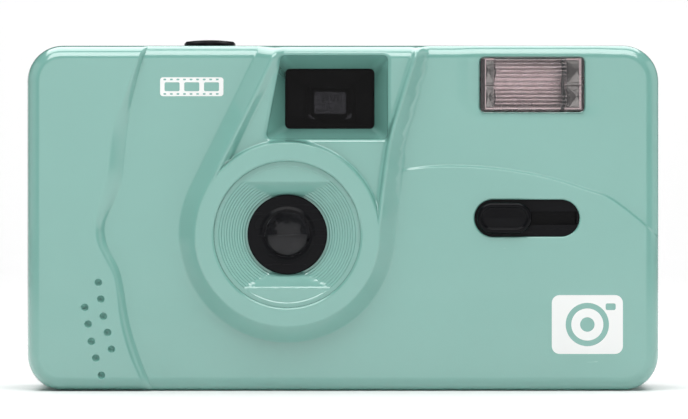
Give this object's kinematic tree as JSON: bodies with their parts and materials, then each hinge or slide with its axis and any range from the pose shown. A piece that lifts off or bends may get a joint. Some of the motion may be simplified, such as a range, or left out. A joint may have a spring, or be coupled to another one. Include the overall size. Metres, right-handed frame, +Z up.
{
  "type": "compact film camera",
  "caption": "Rectangular compact film camera with a round ridged lens surround, an eye-level finder, a built-in flash and a hinged back.",
  "frame": {"origin": "middle of the bounding box at the base", "axes": "lens faces -Y, +Z up, +X to the right seen from the front"},
  "size_m": [0.114, 0.035, 0.0637],
  "materials": {
    "mint_plastic": "glossy moulded ABS, pale mint green",
    "black_plastic": "glossy black ABS",
    "black_moulding": "matt black moulded plastic",
    "black_metal": "matt black coated sheet steel",
    "steel": "bright spring steel",
    "screw_steel": "nickel plated steel",
    "lens_glass": "clear optical acrylic",
    "tinted_window": "lightly tinted acrylic",
    "clear_plastic": "clear moulded acrylic",
    "bright_metal": "bright anodised reflector sheet",
    "tube_glass": "clear glass tube, faint pink",
    "circuit_board": "green circuit board",
    "capacitor_sleeve": "dark shrink sleeve with bare aluminium ends",
    "copper_winding": "taped copper winding",
    "red_lamp": "translucent red plastic",
    "white_plastic": "natural acetal",
    "black_foam": "black foam strip"
  },
  "bodies": {
    "camera": {"front_cover": "mint_plastic", "rear_cover": "mint_plastic", "hinge_pin": "steel", "latch_spring": "steel", "chassis": "black_moulding", "lens_cone": "mint_plastic", "lens_retainer": "black_plastic", "lens_holder": "black_moulding", "front_lens": "lens_glass", "aperture_plate": "black_metal", "shutter_spring": "steel", "button_spring": "steel", "finder_window": "tinted_window", "finder_housing": "black_moulding", "eyepiece_lens": "lens_glass", "eyepiece_rim": "black_plastic", "flash_diffuser": "clear_plastic", "flash_reflector": "bright_metal", "flash_tube": "tube_glass", "flash_board": "circuit_board", "flash_capacitor": "capacitor_sleeve", "flash_transformer": "copper_winding", "ready_lamp": "red_lamp", "switch_plate": "black_plastic", "battery_holder": "black_moulding", "battery_door_pin": "steel", "battery_top_contact": "steel", "pawl_spring": "steel", "counter_window": "clear_plastic", "rewind_spring": "steel", "light_seals": "black_foam", "strap_bar": "steel", "case_screws": "screw_steel", "chassis_screws": "screw_steel"},
    "back_door": {"back_door": "mint_plastic", "pressure_spring": "steel", "cassette_spring": "steel"},
    "pressure_plate": {"pressure_plate": "black_metal"},
    "door_latch": {"door_latch": "black_plastic"},
    "shutter_button": {"shutter_button": "black_plastic"},
    "shutter_blade": {"shutter_blade": "black_metal"},
    "flash_switch": {"flash_switch": "black_plastic"},
    "battery_door": {"battery_door": "mint_plastic", "battery_spring": "steel"},
    "winder": {"advance_wheel": "black_plastic", "takeup_spool": "black_plastic"},
    "advance_pawl": {"advance_pawl": "white_plastic"},
    "film_sprocket": {"film_sprocket": "white_plastic"},
    "counter_disc": {"counter_disc": "white_plastic"},
    "rewind": {"rewind_fork": "black_plastic", "crank_pin": "steel"},
    "crank_arm": {"crank_arm": "black_plastic"},
    "rewind_button": {"rewind_button": "black_plastic"}
  },
  "joints": [
    {"name": "door_swing", "type": "hinge", "parent": "camera", "child": "back_door", "pos_m": [-0.0552, 0.0138, 0.0252], "axis": [0, 0, 1], "range_deg": [0, 115]},
    {"name": "plate_travel", "type": "slide", "parent": "back_door", "child": "pressure_plate", "axis": [0, 1, 0], "range_m": [0, 0.0004], "stiffness_N_per_m": 400, "springref_m": -0.001, "deforming": ["pressure_spring"]},
    {"name": "latch_slide", "type": "slide", "parent": "camera", "child": "door_latch", "axis": [0, 0, 1], "range_m": [0, 0.0046], "stiffness_N_per_m": 200, "springref_m": -0.001, "deforming": ["latch_spring"]},
    {"name": "button_press", "type": "slide", "parent": "camera", "child": "shutter_button", "axis": [0, 0, -1], "range_m": [0, 0.0016], "stiffness_N_per_m": 800, "springref_m": -0.001, "deforming": ["button_spring"]},
    {"name": "blade_swing", "type": "hinge", "parent": "camera", "child": "shutter_blade", "pos_m": [-0.0211, -0.01045, 0.0306], "axis": [0, -1, 0], "range_deg": [0, 28]},
    {"name": "switch_slide", "type": "slide", "parent": "camera", "child": "flash_switch", "axis": [1, 0, 0], "range_m": [0, 0.0084]},
    {"name": "battery_door_swing", "type": "hinge", "parent": "camera", "child": "battery_door", "pos_m": [0.051, 0.006, 0.001], "axis": [0, -1, 0], "range_deg": [0, 100]},
    {"name": "winder_spin", "type": "hinge", "parent": "camera", "child": "winder", "pos_m": [-0.0436, 0.0034, 0.03], "axis": [0, 0, 1], "continuous": true},
    {"name": "pawl_swing", "type": "hinge", "parent": "camera", "child": "advance_pawl", "pos_m": [-0.0314, -0.0072, 0.0528], "axis": [0, 0, 1], "range_deg": [0, 8], "stiffness_Nm_per_rad": 0.002, "springref_deg": -11.46},
    {"name": "sprocket_spin", "type": "hinge", "parent": "camera", "child": "film_sprocket", "pos_m": [-0.0245, 0.006, 0.045], "axis": [0, 0, 1], "continuous": true},
    {"name": "counter_spin", "type": "hinge", "parent": "camera", "child": "counter_disc", "pos_m": [-0.0352, 0.0034, 0.058], "axis": [0, 0, 1], "continuous": true},
    {"name": "rewind_spin", "type": "hinge", "parent": "camera", "child": "rewind", "pos_m": [0.024, 0.0011, 0.005], "axis": [0, 0, 1], "continuous": true},
    {"name": "crank_fold", "type": "hinge", "parent": "rewind", "child": "crank_arm", "pos_m": [0.0208, 0.0011, 0.00095], "axis": [0, 1, 0], "range_deg": [0, 155]},
    {"name": "rewind_button_press", "type": "slide", "parent": "camera", "child": "rewind_button", "axis": [0, 0, 1], "range_m": [0, 0.0012], "stiffness_N_per_m": 300, "springref_m": -0.001, "deforming": ["rewind_spring"]}
  ],
  "couplings": [
    {"joint": "blade_swing", "follows": "button_press", "rad_per_m": 305},
    {"joint": "sprocket_spin", "follows": "winder_spin", "ratio": 1},
    {"joint": "counter_spin", "follows": "winder_spin", "ratio": -0.025}
  ]
}
